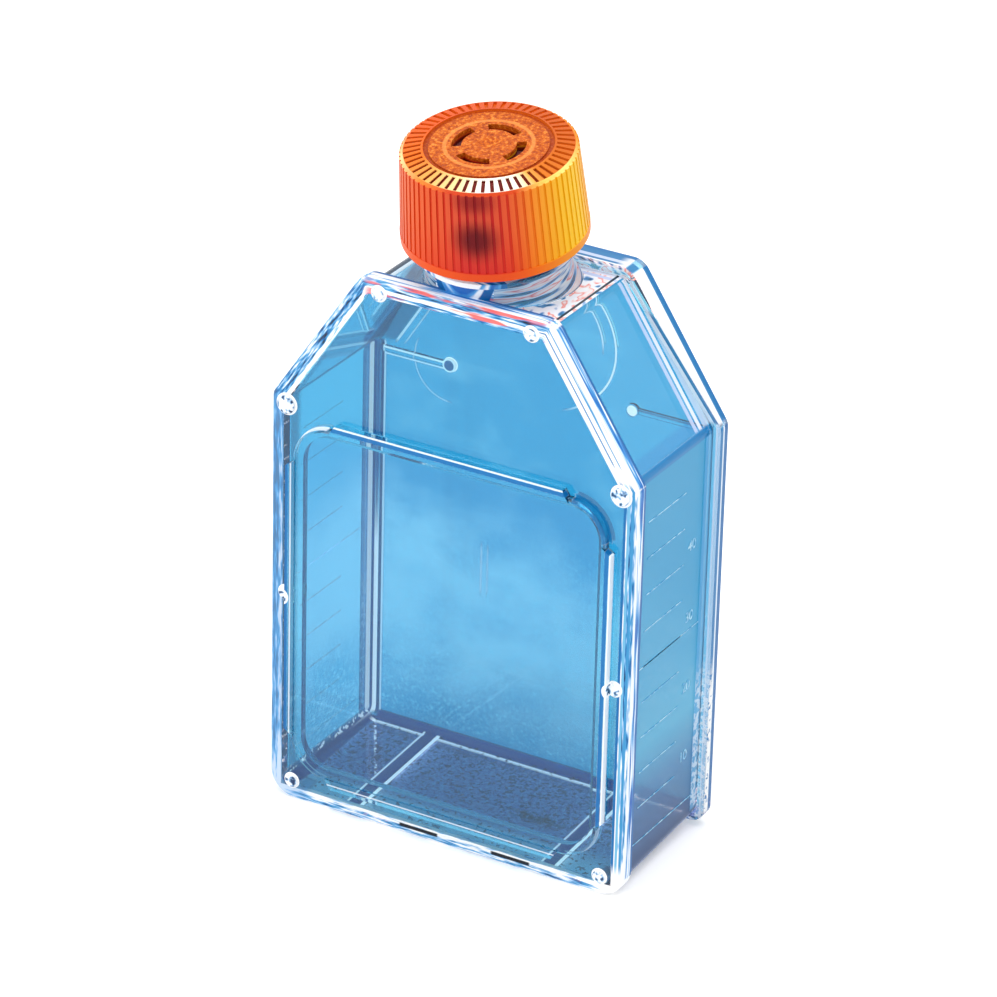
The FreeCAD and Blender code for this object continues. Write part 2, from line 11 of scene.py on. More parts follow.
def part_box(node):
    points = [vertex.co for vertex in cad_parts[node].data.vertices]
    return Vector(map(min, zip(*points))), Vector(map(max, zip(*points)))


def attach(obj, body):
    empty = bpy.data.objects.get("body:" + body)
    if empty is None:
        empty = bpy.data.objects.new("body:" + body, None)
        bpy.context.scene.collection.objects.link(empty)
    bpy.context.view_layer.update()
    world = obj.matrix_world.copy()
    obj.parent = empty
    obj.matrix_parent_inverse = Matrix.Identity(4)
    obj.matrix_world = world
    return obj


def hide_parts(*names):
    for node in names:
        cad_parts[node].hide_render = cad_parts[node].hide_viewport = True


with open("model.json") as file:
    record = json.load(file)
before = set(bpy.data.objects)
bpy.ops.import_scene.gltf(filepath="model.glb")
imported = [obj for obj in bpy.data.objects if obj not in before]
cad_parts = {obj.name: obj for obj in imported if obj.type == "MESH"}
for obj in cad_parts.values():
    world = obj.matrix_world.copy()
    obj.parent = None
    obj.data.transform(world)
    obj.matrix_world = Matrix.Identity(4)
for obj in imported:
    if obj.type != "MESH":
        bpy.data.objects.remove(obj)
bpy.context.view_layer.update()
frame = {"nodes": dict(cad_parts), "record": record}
nodes = frame["nodes"]

MM = 0.001
MERGE = 0.002 * MM

# The flask's outline and rims
HALF_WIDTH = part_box("flask_body")[1].x
END_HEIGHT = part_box("front_plate")[1].z
SHOULDER_HEIGHT = 56.0 * MM
HALF_END = 13.1 * MM
RIM_OVERHANG = 1.1 * MM
FACE_Y = -23.0 * MM
WELD_Y = -21.8 * MM
WELD_RIM_DEPTH = 0.9 * MM
WELD_BACK = WELD_Y + WELD_RIM_DEPTH
REAR_RIM_FRONT = -2.0 * MM

# Inside the flask: the rear plate, the side walls and what is moulded on them, and where the
# backdrop seen through them is painted in
FLOOR_Y = -1.3 * MM
WALL_INNER = 22.0 * MM
WALL_ROUNDED = 22.4 * MM
RIDGE_HEIGHT = 54.6 * MM
GATE_OFFSET = 12.6 * MM
MOULD_MARK_HEIGHT = 62.2 * MM
FOOT_RIBS = (-13.93 * MM, 14.17 * MM)
BACKDROP_PATCH_HEIGHT = 19.5 * MM
SIDE_BACKDROP_PATCH_HEIGHT = 27.0 * MM

# The raised panel of the front plate, with its rails, and the studs as across, height and radius
PANEL_HALF_WIDTH = 21.9 * MM
PANEL_MIDDLE = 28.85 * MM
PANEL_HALF_HEIGHT = 24.35 * MM
PANEL_CORNER = 5.1 * MM
STUDS = [(10.5 * MM, 72.8 * MM, 0.9 * MM), (23.3 * MM, 54.9 * MM, 1.25 * MM),
         (23.3 * MM, 29.0 * MM, 0.9 * MM), (22.2 * MM, 2.6 * MM, 0.9 * MM)]

# The neck's axis, which the cap turns on
turning = next(joint for joint in frame["record"]["behaviour"]["joints"]
               if joint["name"] == "cap_turn")
SEAT = Vector(turning["pos_m"])
CANT = math.atan2(-turning["axis"][1], turning["axis"][2])
THREAD_PITCH = 3.5 * MM
THREAD_HALF = 0.6 * MM

# The cap, measured up its axis and out from it
CAP_TOP = 18.95 * MM
CAP_BAND_TOP = 7.9 * MM
CAP_EDGE = 18.2 * MM
RIB_ROOT = 11.25 * MM
RIB_TAPER = 0.7 * MM
CROWN_INNER = 7.85 * MM
CROWN_OUTER = 10.35 * MM
CROWN_DROP = 0.5 * MM
DARK_TURN = 0.305
DARK_HEIGHT = 12.3 * MM
DARK_EDGE_HEIGHT = 17.4 * MM

# The volume lines on the side walls, and their figures
LINE_FIRST = 5.5 * MM
LINE_SPACING = 4.9 * MM
LINE_WIDTH = 0.12 * MM
LINE_RISE = 0.1 * MM
VOLUMES = (10, 20, 30, 40)
FIGURE_SIZE = 2.0 * MM
FIGURE_HALF_DEPTH = 0.05 * MM
FIGURE_Y = -7.4 * MM

# Screen values of the painted highlights, reflections and shade lines that show in the clear
# plastic, and the faint blue glow painted into the plastic
WHITE = (255, 255, 255)
COLD_WHITE = (250, 252, 255)
PALE = (236, 246, 255)
PALE_RAIL = (236, 244, 255)
PALE_RIM = (240, 246, 255)
PALE_EDGE = (222, 240, 252)
MIST = (226, 238, 252)
LILAC = (206, 214, 244)
RAIL_BLUE = (0, 102, 168)
RIM_BLUE = (0, 106, 170)
EDGE_BLUE = (0, 94, 162)
SHADOW = (4, 8, 20)
FAINT_BLUE_GLOW = (0.0, 0.25, 0.6)

# Where the camera stands and how it is turned, and what the lamps point at
CAMERA_PLACE = Vector((0.294646, -0.532732, 0.342903))
CAMERA_YAW = math.radians(29.467)
CAMERA_PITCH = math.radians(26.569)
CAMERA_ROLL = math.radians(1.499)
CAMERA_LENS = 197.2
LAMP_AIM = Vector((0, -0.012, 0.03))


class Value:
    """A socket of a shader tree. An expression on values adds the Math nodes that it needs."""

    def __init__(self, finish, socket):
        self.finish = finish
        self.socket = socket

    def math(self, operation, *others):
        return self.finish.add("ShaderNodeMath", {"operation": operation}, [self, *others])

    def __add__(self, other):
        return self.math("ADD", other)

    __radd__ = __add__

    def __sub__(self, other):
        return self.math("SUBTRACT", other)

    def __rsub__(self, other):
        return (self * -1.0).math("ADD", other)

    def __mul__(self, other):
        return self.math("MULTIPLY", other)

    __rmul__ = __mul__

    def __truediv__(self, other):
        return self.math("DIVIDE", other)

    def __abs__(self):
        return self.math("ABSOLUTE")

    def least(self, other):
        return self.math("MINIMUM", other)

    def most(self, other):
        return self.math("MAXIMUM", other)

    def step(self, low, high):
        """0 below low and 1 above high, with a smooth rise between them."""
        return self.finish.add("ShaderNodeMapRange", {"interpolation_type": "SMOOTHSTEP"},
                               {"Value": self, "From Min": low, "From Max": high})

    def band(self, middle, half, soft):
        """1 within half of the middle, fading to 0 over the soft distance."""
        return 1.0 - abs(self - middle).step(half, half + soft)


class Finish:
    """The nodes of a material or a world under construction."""

    def __init__(self, name, owners=bpy.data.materials):
        self.owner = owners.new(name)
        self.owner.use_nodes = True
        self.tree = self.owner.node_tree
        self.tree.nodes.clear()

    def add(self, kind, settings=None, inputs=None, output=0):
        """Adds a node: its settings first, then values or links for its inputs."""
        node = self.tree.nodes.new(kind)
        for name, setting in (settings or {}).items():
            if name == "stops":
                self.set_stops(node.color_ramp, setting)
            else:
                setattr(node, name, setting)
        pairs = inputs.items() if isinstance(inputs, dict) else enumerate(inputs or [])
        for name, value in pairs:
            self.feed(node.inputs[name], value)
        return Value(self, node.outputs[output]) if len(node.outputs) else None

    def feed(self, socket, value):
        if isinstance(value, Value):
            self.tree.links.new(value.socket, socket)
        elif isinstance(value, tuple) and len(value) == 3 and socket.type == "RGBA":
            socket.default_value = (*value, 1.0)
        else:
            socket.default_value = value

    def set_stops(self, ramp, stops):
        for place, colour in stops[2:]:
            ramp.elements.new(place)
        for element, (place, colour) in zip(ramp.elements, stops):
            element.position = place
            element.color = (*colour, 1.0)

    def place(self):
        """The object's own coordinates: the whole vector, and x, y and z apart."""
        vector = self.add("ShaderNodeTexCoord", output="Object")
        parts = [self.add("ShaderNodeSeparateXYZ", None, [vector], axis) for axis in "XYZ"]
        return vector, *parts

    def noise(self, vector, scale, detail, roughness):
        return self.add("ShaderNodeTexNoise", None, {
            "Vector": vector, "Scale": scale, "Detail": detail, "Roughness": roughness})

    def join(self, x, y, z):
        return self.add("ShaderNodeCombineXYZ", None, [x, y, z])

    def ramp(self, place, *stops):
        """A colour picked by a value, from stops given as a place and three screen values."""
        return self.add("ShaderNodeValToRGB", {"stops": [
            (at, linear(*colour)) for at, *colour in stops]}, [place])

    def paint(self, colour, *layers):
        """Lays colours over a colour, each by its own factor."""
        for factor, layer in layers:
            top = layer if isinstance(layer, Value) else linear(*layer)
            colour = self.blend(factor, colour, top)
        return colour

    def stretch(self, vector, scale):
        return self.add("ShaderNodeMapping", None, {"Vector": vector, "Scale": scale})

    def blend(self, factor, low, high):
        """A colour that goes from low to high as the factor goes from 0 to 1."""
        return self.add("ShaderNodeMix", {"data_type": "RGBA"}, {0: factor, 6: low, 7: high}, 2)

    def bump(self, height, strength, distance):
        return self.add("ShaderNodeBump", None, {
            "Height": height, "Strength": strength, "Distance": distance})

    def surface(self, **inputs):
        named = {name.replace("_", " "): value for name, value in inputs.items()}
        return self.add("ShaderNodeBsdfPrincipled", None, named)

    def cap_place(self):
        """Coordinates on the neck's own canted axis: the vector, x, y, z, radius and angle."""
        vector = self.add("ShaderNodeMapping", {"vector_type": "TEXTURE"}, {
            "Vector": self.add("ShaderNodeTexCoord", output="Object"),
            "Location": SEAT, "Rotation": (CANT, 0.0, 0.0)})
        x, y, z = [self.add("ShaderNodeSeparateXYZ", None, [vector], axis) for axis in "XYZ"]
        return vector, x, y, z, reach(x, y), y.math("ARCTAN2", x)

    def done(self, shader, end="ShaderNodeOutputMaterial"):
        self.add(end, None, {"Surface": shader})
        return self.owner


def linear(red, green, blue):
    """A colour written as 0 to 255 screen values."""
    def channel(value):
        share = value / 255
        return share / 12.92 if share <= 0.04045 else ((share + 0.055) / 1.055) ** 2.4
    return channel(red), channel(green), channel(blue)


def dress(piece, material):
    piece.data.materials.clear()
    piece.data.materials.append(material)


def plain_mesh(piece):
    """Applies a piece's modifiers and leaves a plain mesh on it."""
    graph = bpy.context.evaluated_depsgraph_get()
    mesh = bpy.data.meshes.new_from_object(piece.evaluated_get(graph))
    piece.modifiers.clear()
    piece.data = mesh
    return piece


def add_object(name, data):
    made = bpy.data.objects.new(name, data)
    bpy.context.scene.collection.objects.link(made)
    return made


def node_copy(name, node, shift=None):
    """A copy of a node with its loose triangles joined up, each point moved by shift if given."""
    mesh = nodes[node].data.copy()
    mesh.materials.clear()
    tool = bmesh.new()
    tool.from_mesh(mesh)
    bmesh.ops.remove_doubles(tool, verts=tool.verts, dist=MERGE)
    if shift:
        for vertex in tool.verts:
            vertex.co = shift(vertex.co)
    tool.to_mesh(mesh)
    tool.free()
    return add_object(name, mesh)


def combine(piece, other):
    """Fuses the other piece into this one."""
    modifier = piece.modifiers.new("union", "BOOLEAN")
    modifier.operation = "UNION"
    modifier.solver = "EXACT"
    modifier.object = other
    plain_mesh(piece)
    bpy.data.objects.remove(other)


def soften(piece, width):
    """Joins flat facets, then rounds every sharp edge a little so that it catches the light."""
    flat = math.radians(0.5)
    sharp = math.radians(32.0)
    tool = bmesh.new()
    tool.from_mesh(piece.data)
    bmesh.ops.remove_doubles(tool, verts=tool.verts, dist=MERGE)
    bmesh.ops.dissolve_limit(tool, angle_limit=flat, verts=tool.verts, edges=tool.edges)
    tool.to_mesh(piece.data)
    tool.free()
    modifier = piece.modifiers.new("edges", "BEVEL")
    modifier.width = width
    modifier.segments = 2
    modifier.limit_method = "ANGLE"
    modifier.angle_limit = sharp
    modifier.use_clamp_overlap = True
    plain_mesh(piece)
    piece.data.shade_smooth()
    piece.data.set_sharp_from_angle(angle=sharp)
    modifier = piece.modifiers.new("flat faces", "WEIGHTED_NORMAL")
    modifier.weight = 90
    modifier.keep_sharp = True
    plain_mesh(piece)


def make_flask():
    """The moulded flask and its welded front plate as one clear piece."""
    seam = 0.04 * MM
    inset = 0.9996
    middle = END_HEIGHT / 2

    def sink(point):
        """Draws the plate in by a hair and sets its back just into the weld rim."""
        deeper = seam if abs(point.y - WELD_Y) < seam else 0.0
        return Vector((point.x * inset, point.y + deeper, middle + (point.z - middle) * inset))

    flask = node_copy("clear_flask", "flask_body")
    combine(flask, node_copy("plate", "front_plate", sink))
    soften(flask, width=0.06 * MM)
    dress(flask, unsampled(clear_walls()))

    # The second material goes on the plate and on the weld rim behind it.
    flask.data.materials.append(unsampled(clear_front()))
    for face in flask.data.polygons:
        face.material_index = int(face.center.y < WELD_BACK + 0.05 * MM)
    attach(flask, "flask")
    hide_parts("flask_body", "front_plate")


def make_cap():
    cap = node_copy("ribbed_cap", "screw_cap")
    soften(cap, width=0.05 * MM)
    dress(cap, orange_plastic())
    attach(cap, "cap")
    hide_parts("screw_cap")


class Shape(Finish):
    """The geometry nodes that make a piece from named sizes."""

    def __init__(self, name, **sizes):
        self.name = name
        self.tree = bpy.data.node_groups.new(name, "GeometryNodeTree")
        self.values = {}
        for size, value in sizes.items():
            kind = "NodeSocketInt" if isinstance(value, int) else "NodeSocketFloat"
            socket = self.tree.interface.new_socket(size, in_out="INPUT", socket_type=kind)
            self.values[socket.identifier] = value
        self.tree.interface.new_socket("Geometry", in_out="OUTPUT",
                                       socket_type="NodeSocketGeometry")
        self.entry = self.tree.nodes.new("NodeGroupInput")

    def size(self, name):
        return Value(self, self.entry.outputs[name])

    def make(self, geometry, material):
        whole = self.add("GeometryNodeRealizeInstances", None, [geometry])
        self.add("NodeGroupOutput", None, [
            self.add("GeometryNodeSetMaterial", None, {"Geometry": whole, "Material": material})])
        piece = add_object(self.name, bpy.data.meshes.new(self.name))
        modifier = piece.modifiers.new("shape", "NODES")
        modifier.node_group = self.tree
        for identifier, value in self.values.items():
            modifier[identifier] = value
        return plain_mesh(piece)


def make_graduations(name, material, count, first, spacing, middle, length):
    """Raised lines across the outside of both side walls."""
    shape = Shape(name, Count=count, First=first, Spacing=spacing, Middle=middle, Length=length,
                  Wall=HALF_WIDTH - RIM_OVERHANG, Width=LINE_WIDTH, Rise=LINE_RISE)
    row = shape.add("GeometryNodeMeshLine", None, {
        "Count": shape.size("Count"),
        "Start Location": shape.join(shape.size("Wall"), shape.size("Middle"), shape.size("First")),
        "Offset": shape.join(0.0, 0.0, shape.size("Spacing"))})
    line = shape.add("GeometryNodeMeshCube", None, {
        "Size": shape.join(shape.size("Rise"), shape.size("Length"), shape.size("Width"))})
    right = shape.add("GeometryNodeInstanceOnPoints", None, {"Points": row, "Instance": line})
    left = shape.add("GeometryNodeTransform", None, {
        "Geometry": right, "Translation": shape.join(shape.size("Wall") * -2.0, 0.0, 0.0)})
    both = shape.tree.nodes.new("GeometryNodeJoinGeometry")
    for half in (left, right):
        shape.tree.links.new(half.socket, both.inputs[0])
    piece = shape.make(Value(shape, both.outputs[0]), material)
    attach(piece, "flask")


def make_numbers(material):
    """The volumes beside the lines, as raised figures on the right wall."""
    facing_right = Matrix(((0, 0, 1), (1, 0, 0), (0, 1, 0))).to_4x4()
    tool = bmesh.new()
    for step, volume in enumerate(VOLUMES):
        words = bpy.data.curves.new("figures", "FONT")
        words.body = str(volume)
        words.size = FIGURE_SIZE
        words.extrude = FIGURE_HALF_DEPTH
        figure = add_object("figures", words)
        graph = bpy.context.evaluated_depsgraph_get()
        mesh = bpy.data.meshes.new_from_object(figure.evaluated_get(graph))
        height = LINE_FIRST + (2 * step + 1.25) * LINE_SPACING
        place = Matrix.Translation((HALF_WIDTH - RIM_OVERHANG, FIGURE_Y, height))
        mesh.transform(place @ facing_right)
        tool.from_mesh(mesh)
        bpy.data.objects.remove(figure)
    bmesh.ops.remove_doubles(tool, verts=tool.verts, dist=MERGE)
    numbers = add_object("volume_numbers", bpy.data.meshes.new("volume_numbers"))
    tool.to_mesh(numbers.data)
    tool.free()
    dress(numbers, material)
    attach(numbers, "flask")


def make_thread(name, material, body, radius, foot, turns):
    """A right-hand thread round the neck's axis."""
    shape = Shape(name, Radius=radius, Foot=foot, Turns=turns, Pitch=THREAD_PITCH, Half=THREAD_HALF)
    spiral = shape.add("GeometryNodeCurveSpiral", None, {
        "Resolution": 48, "Rotations": shape.size("Turns"), "Start Radius": shape.size("Radius"),
        "End Radius": shape.size("Radius"), "Height": shape.size("Turns") * shape.size("Pitch"),
        "Reverse": True})
    round_profile = shape.add("GeometryNodeCurvePrimitiveCircle", None, {
        "Resolution": 10, "Radius": shape.size("Half")})
    rope = shape.add("GeometryNodeCurveToMesh", None, {
        "Curve": spiral, "Profile Curve": round_profile, "Fill Caps": True})
    lifted = shape.add("GeometryNodeTransform", None, {
        "Geometry": rope, "Translation": shape.join(0.0, 0.0, shape.size("Foot"))})
    placed = shape.add("GeometryNodeTransform", None, {
        "Geometry": lifted, "Translation": SEAT, "Rotation": (CANT, 0.0, 0.0)})
    piece = shape.make(placed, material)
    piece.data.shade_smooth()
    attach(piece, body)


def reach(across, up):
    """The distance to a point that lies this far across and up."""
    return (across * across + up * up).math("SQRT")


def left_half(x):
    return x.step(0.0, -MM)


def right_half(x):
    return x.step(0.0, MM)


def between_rims(y):
    """1 on the outside of the walls, where neither rim covers them."""
    return (y.step(WELD_BACK + 0.1 * MM, WELD_BACK + 0.3 * MM)
            * y.step(REAR_RIM_FRONT - 0.1 * MM, REAR_RIM_FRONT - 0.4 * MM))


def above_shoulder(z):
    return z.step(SHOULDER_HEIGHT - 0.2 * MM, SHOULDER_HEIGHT + 0.6 * MM)


def distance_inside(x, z):
    """How far a point lies inside the six-sided outline."""
    rise, run = END_HEIGHT - SHOULDER_HEIGHT, HALF_WIDTH - HALF_END
    slant = math.hypot(rise, run)
    beside = HALF_WIDTH - abs(x)
    shoulder = beside * (rise / slant) + (SHOULDER_HEIGHT - z) * (run / slant)
    return beside.least(z).least(END_HEIGHT - z).least(shoulder)


def distance_from_panel(x, z):
    """How far a point lies outside the panel, and how far it is into one of its round corners."""
    beside = (abs(x) - (PANEL_HALF_WIDTH - PANEL_CORNER)).most(0.0)
    above = (abs(z - PANEL_MIDDLE) - (PANEL_HALF_HEIGHT - PANEL_CORNER)).most(0.0)
    return reach(beside, above) - PANEL_CORNER, beside.least(above)


def wall_tint(finish, vector, x, y, z, inside):
    """The blue of the walls, painted in for the backdrop seen through the clear plastic: paler
    patches and specks low down, deeper on the right and violet in the end wall as painted shade.
    """
    floor = y.step(FLOOR_Y - 0.1 * MM, FLOOR_Y) * inside.step(3.2 * MM, 3.5 * MM)
    drift = finish.noise(finish.stretch(vector, (1.0, 1.0, 1.5)), 90.0, 3.0, 0.6)
    bank = abs(z + x * 0.12 - BACKDROP_PATCH_HEIGHT)
    backdrop_patch = (1.0 - bank.step(4.0 * MM, 19.0 * MM)) * 0.85 + (drift - 0.5) * 2.2
    grain = finish.noise(vector, 2200.0, 2.0, 0.6)
    low = 1.0 - z.step(24.0 * MM, 40.0 * MM)
    right = x.step(WALL_INNER, WALL_ROUNDED)
    left = x.step(-WALL_INNER, -WALL_ROUNDED)
    left_bank = abs(z - SIDE_BACKDROP_PATCH_HEIGHT).step(17.0 * MM, 5.0 * MM)
    left_backdrop_patch = left * (left_bank + (drift - 0.5) * 1.6) * low.most(left_bank)
    seen_backdrop = (floor * backdrop_patch).most(left_backdrop_patch).most(0.0).least(1.0)
    speckled = grain.step(0.5, 0.68) * low
    # The paler patches and specks are the backdrop seen through the plastic, painted in, and the
    # deeper blue on the right wall is painted shade.
    tint = finish.paint(
        linear(72, 178, 210),
        (right, (48, 148, 196)),
        (right * drift.step(0.46, 0.6) * low * 0.5, (124, 192, 220)),
        (seen_backdrop * 0.9, (222, 232, 240)),
        (speckled * 0.9 * floor.most(left).most(right), (190, 234, 242)))
    # Painted shade: the end wall turns dark violet, as the shaded floor seen through it.
    foot = finish.ramp(grain, (0.32, 40, 46, 108), (0.46, 88, 102, 172), (0.6, 104, 124, 192),
                       (0.74, 96, 172, 216))
    under = (1.0 - z.step(2.2 * MM, 2.7 * MM)) * inside.step(0.0, 0.1 * MM)
    return finish.paint(tint, (under, foot))


def rim_glints(finish, x, y, z, inside):
    """Painted glints and reflections along the moulded rims: streaks from dark through deep blue to
    white.
    """
    along = (x + z) * 0.7
    streaks = finish.noise(finish.join(inside * 8.0, along, y * 4.0), 380.0, 2.0, 0.62)
    left_shoulder = (x.step(-12.0 * MM, -13.0 * MM)
                     * z.step(SHOULDER_HEIGHT - 2.0 * MM, SHOULDER_HEIGHT))
    right_shoulder = (x.step(12.0 * MM, 13.5 * MM)
                      * z.step(SHOULDER_HEIGHT - 1.0 * MM, SHOULDER_HEIGHT))
    across = inside * (1.0 - left_shoulder * 0.28)
    corner = (1.0 - z.step(3.0 * MM, 8.0 * MM)) * abs(x).step(20.0 * MM, 23.5 * MM)
    line = across.band(1.38 * MM, 0.2 * MM, 0.1 * MM)
    blue = across.band(0.75 * MM, 0.28 * MM, 0.12 * MM)
    lower = 1.0 - z.step(22.0 * MM, 36.0 * MM)
    upright = x.step(-19.0 * MM, -21.0 * MM) * z.step(57.0 * MM, 55.0 * MM)
    whiter = (streaks - upright * 0.1 + right_shoulder * 0.22 + corner * 0.22
              + line * (z.step(50.0 * MM, 60.0 * MM) * 0.1 + 0.1) - blue * 0.05 + lower * 0.07)
    colour = finish.ramp(whiter, (0.30, 6, 20, 50), (0.37, 4, 92, 160), (0.46, 60, 152, 208),
                         (0.54, 170, 208, 244), (0.62, *WHITE))
    # A painted pink reflection along the rim near the end.
    end = (z.step(END_HEIGHT - 3.2 * MM, END_HEIGHT - 2.4 * MM)
           * (1.0 - abs(x).step(11.5 * MM, 13.0 * MM)))
    pink_glint = finish.noise(finish.join(x * 0.5, y * 2.0, z * 4.0), 260.0, 2.0, 0.5)
    return finish.paint(colour, (upright * 0.5, (104, 168, 222)),
                        (end * pink_glint.step(0.5, 0.6) * 0.9, (244, 84, 70)))


def stud_mask(x, z):
    """1 on a stud, and 1 on the thin ring at its foot."""
    disc, ring = 0.0, 0.0
    for across, height, radius in STUDS:
        away = reach(abs(x) - across, z - height)
        disc = (1.0 - away.step(radius * 0.95, radius)).most(disc)
        ring = away.band(radius * 1.08, 0.08 * MM, 0.1 * MM).most(ring)
    return disc, ring


# Each layer below is a painted highlight, reflection or shade line: a mask, its colour, and how far
# it hides the clear plastic.

def rail_layers(x, y, z, beyond_panel, round_corner):
    """Painted highlights in white and painted reflections in deep blue along the rails and the
    panel's round corners.
    """
    raised = y.step(FACE_Y - 0.25 * MM, FACE_Y - 0.35 * MM)
    near = beyond_panel.band(0.35 * MM, 0.75 * MM, 0.1 * MM) * raised
    straight = near * round_corner.step(0.3 * MM, 0.0)
    sideways = abs(x).step(PANEL_HALF_WIDTH - 0.6 * MM, PANEL_HALF_WIDTH - 0.4 * MM)
    over, beside = straight * (1.0 - sideways), straight * sideways
    crest = over * y.step(FACE_Y - 1.0 * MM, FACE_Y - 1.08 * MM)
    top = z - (PANEL_MIDDLE + PANEL_HALF_HEIGHT)
    foot = z - (PANEL_MIDDLE - PANEL_HALF_HEIGHT)
    right = x - PANEL_HALF_WIDTH
    left = x + PANEL_HALF_WIDTH
    corner = round_corner.step(0.1 * MM, 0.5 * MM)
    arc = beyond_panel.band(0.0, 0.42 * MM, 0.1 * MM) * corner
    thin_arc = beyond_panel.band(0.05 * MM, 0.07 * MM, 0.06 * MM) * corner
    upper = z.step(PANEL_MIDDLE, PANEL_MIDDLE + MM)
    return [
        (top.band(0.42 * MM, 0.24 * MM, 0.06 * MM) * over, RAIL_BLUE, 0.9),
        (top.band(0.84 * MM, 0.1 * MM, 0.04 * MM) * crest, PALE, 0.9),
        (foot.band(-0.2 * MM, 0.07 * MM, 0.05 * MM) * over, MIST, 0.7),
        (right.band(0.36 * MM, 0.24 * MM, 0.06 * MM) * beside, RAIL_BLUE, 0.9),
        (right.band(0.82 * MM, 0.1 * MM, 0.04 * MM) * beside, (240, 248, 255), 0.92),
        (left.band(-0.7 * MM, 0.24 * MM, 0.06 * MM) * beside, RAIL_BLUE, 0.85),
        (left.band(-0.1 * MM, 0.08 * MM, 0.06 * MM) * beside, PALE_RAIL, 0.6),
        (arc * right_half(x) * upper, (0, 106, 168), 0.6),
        (thin_arc * left_half(x) * upper, PALE_RAIL, 0.8),
        (thin_arc * (1.0 - upper), (200, 226, 250), 0.5)]


def inner_corner_layers(x, y, z, inside):
    """Painted highlight and shade lines in the roundings between the rear plate, the side wall and
    the end wall.
    """
    depth = FLOOR_Y - y
    beside = abs(x)
    inner = inside.step(1.95 * MM, 2.05 * MM) * depth.step(-0.1 * MM, -0.03 * MM)
    tall = z.step(2.4 * MM, 3.0 * MM) * z.step(SHOULDER_HEIGHT, 55.4 * MM) * inner
    left = left_half(x) * tall
    high = z.step(26.0 * MM, 40.0 * MM)
    wide = beside.band(22.86 * MM, 0.2 * MM, 0.05 * MM) * left
    wall = depth.band(1.15 * MM, 0.4 * MM, 0.1 * MM) * beside.band(23.4 * MM, 0.12 * MM, 0.05 * MM)
    shoulder = z.step(55.2 * MM, 56.5 * MM) * inner * depth.step(3.6 * MM, 3.2 * MM) * left_half(x)
    bottom = z.step(3.1 * MM, 2.9 * MM) * inner * (1.0 - beside.step(WALL_INNER, 22.6 * MM))
    slope = (y.band(-2.75 * MM, 0.26 * MM, 0.1 * MM) * inner * z.step(2.7 * MM, 2.4 * MM)
             * (1.0 - beside.step(22.3 * MM, 22.8 * MM)))
    return [
        (beside.band(22.42 * MM, 0.15 * MM, 0.06 * MM) * left, (0, 92, 164), 0.9),
        (wide * (1.0 - high), WHITE, 0.9),
        (wide * high, (104, 172, 232), 0.8),
        (beside.band(23.17 * MM, 0.08 * MM, 0.04 * MM) * left, (64, 140, 214), 0.8),
        (wall * left, (214, 230, 250), 0.75),
        (beside.band(22.08 * MM, 0.1 * MM, 0.06 * MM) * left, (186, 220, 246), 0.7),
        (inside.band(3.0 * MM, 0.95 * MM, 0.3 * MM) * shoulder, RAIL_BLUE, 0.6),
        (inside.band(4.3 * MM, 0.12 * MM, 0.06 * MM) * shoulder, COLD_WHITE, 0.8),
        (inside.band(5.3 * MM, 0.07 * MM, 0.06 * MM) * shoulder, PALE, 0.6),
        (depth.band(0.5 * MM, 0.42 * MM, 0.1 * MM) * bottom, (10, 84, 180), 0.85),
        (slope, WHITE, 0.92)]


def rear_layers(x, y, z, inside):
    """Painted highlight and reflection lines at the ridge, its two gates and the round marks of the
    mould, inside the rear plate.
    """
    depth = FLOOR_Y - y
    rear = (depth.step(3.4 * MM, 3.0 * MM) * depth.step(-0.1 * MM, -0.03 * MM)
            * inside.step(3.2 * MM, 3.4 * MM))
    ridge = z.band(RIDGE_HEIGHT + 0.2 * MM, 0.1 * MM, 0.07 * MM) * rear
    under_ridge = z.band(RIDGE_HEIGHT - 0.8 * MM, 0.07 * MM, 0.07 * MM) * rear
    beyond_left = x.step(-GATE_OFFSET + 0.6 * MM, -GATE_OFFSET - 0.6 * MM)
    beyond_right = x.step(GATE_OFFSET, GATE_OFFSET + MM)
    gate = reach(abs(x) - GATE_OFFSET, z - RIDGE_HEIGHT)
    left, right = left_half(x) * rear, right_half(x) * rear
    rise = z - MOULD_MARK_HEIGHT
    mark = reach(x, rise)
    tall = z.band(27.5 * MM, 2.5 * MM, 2.0 * MM) * rear
    return [
        ((x + 7.6 * MM).band(0.0, 0.09 * MM, 0.1 * MM) * tall, (216, 230, 246), 0.55),
        ((x + 6.7 * MM).band(0.0, 0.06 * MM, 0.1 * MM) * tall, (200, 222, 244), 0.5),
        (ridge * beyond_left, WHITE, 0.9),
        (under_ridge * beyond_left, COLD_WHITE, 0.8),
        (ridge * beyond_right, (150, 128, 178), 0.6),
        (gate.band(0.85 * MM, 0.12 * MM, 0.08 * MM) * left, COLD_WHITE, 0.9),
        (gate.step(0.75 * MM, 0.6 * MM) * left, (60, 120, 190), 0.8),
        (gate.step(0.8 * MM, 0.65 * MM) * right, WHITE, 0.9),
        (gate.band(5.2 * MM, 0.06 * MM, 0.08 * MM) * beyond_left * z.step(58.0 * MM, 56.0 * MM)
         * rear, (196, 226, 248), 0.6),
        (mark.band(10.3 * MM, 0.1 * MM, 0.06 * MM) * x.step(2.0 * MM, 6.0 * MM) * rear,
         COLD_WHITE, 0.85),
        (mark.band(8.5 * MM, 0.09 * MM, 0.06 * MM) * x.step(3.0 * MM, 5.0 * MM) * rear
         * rise.step(-2.0 * MM, 1.0 * MM), (232, 244, 255), 0.75)]


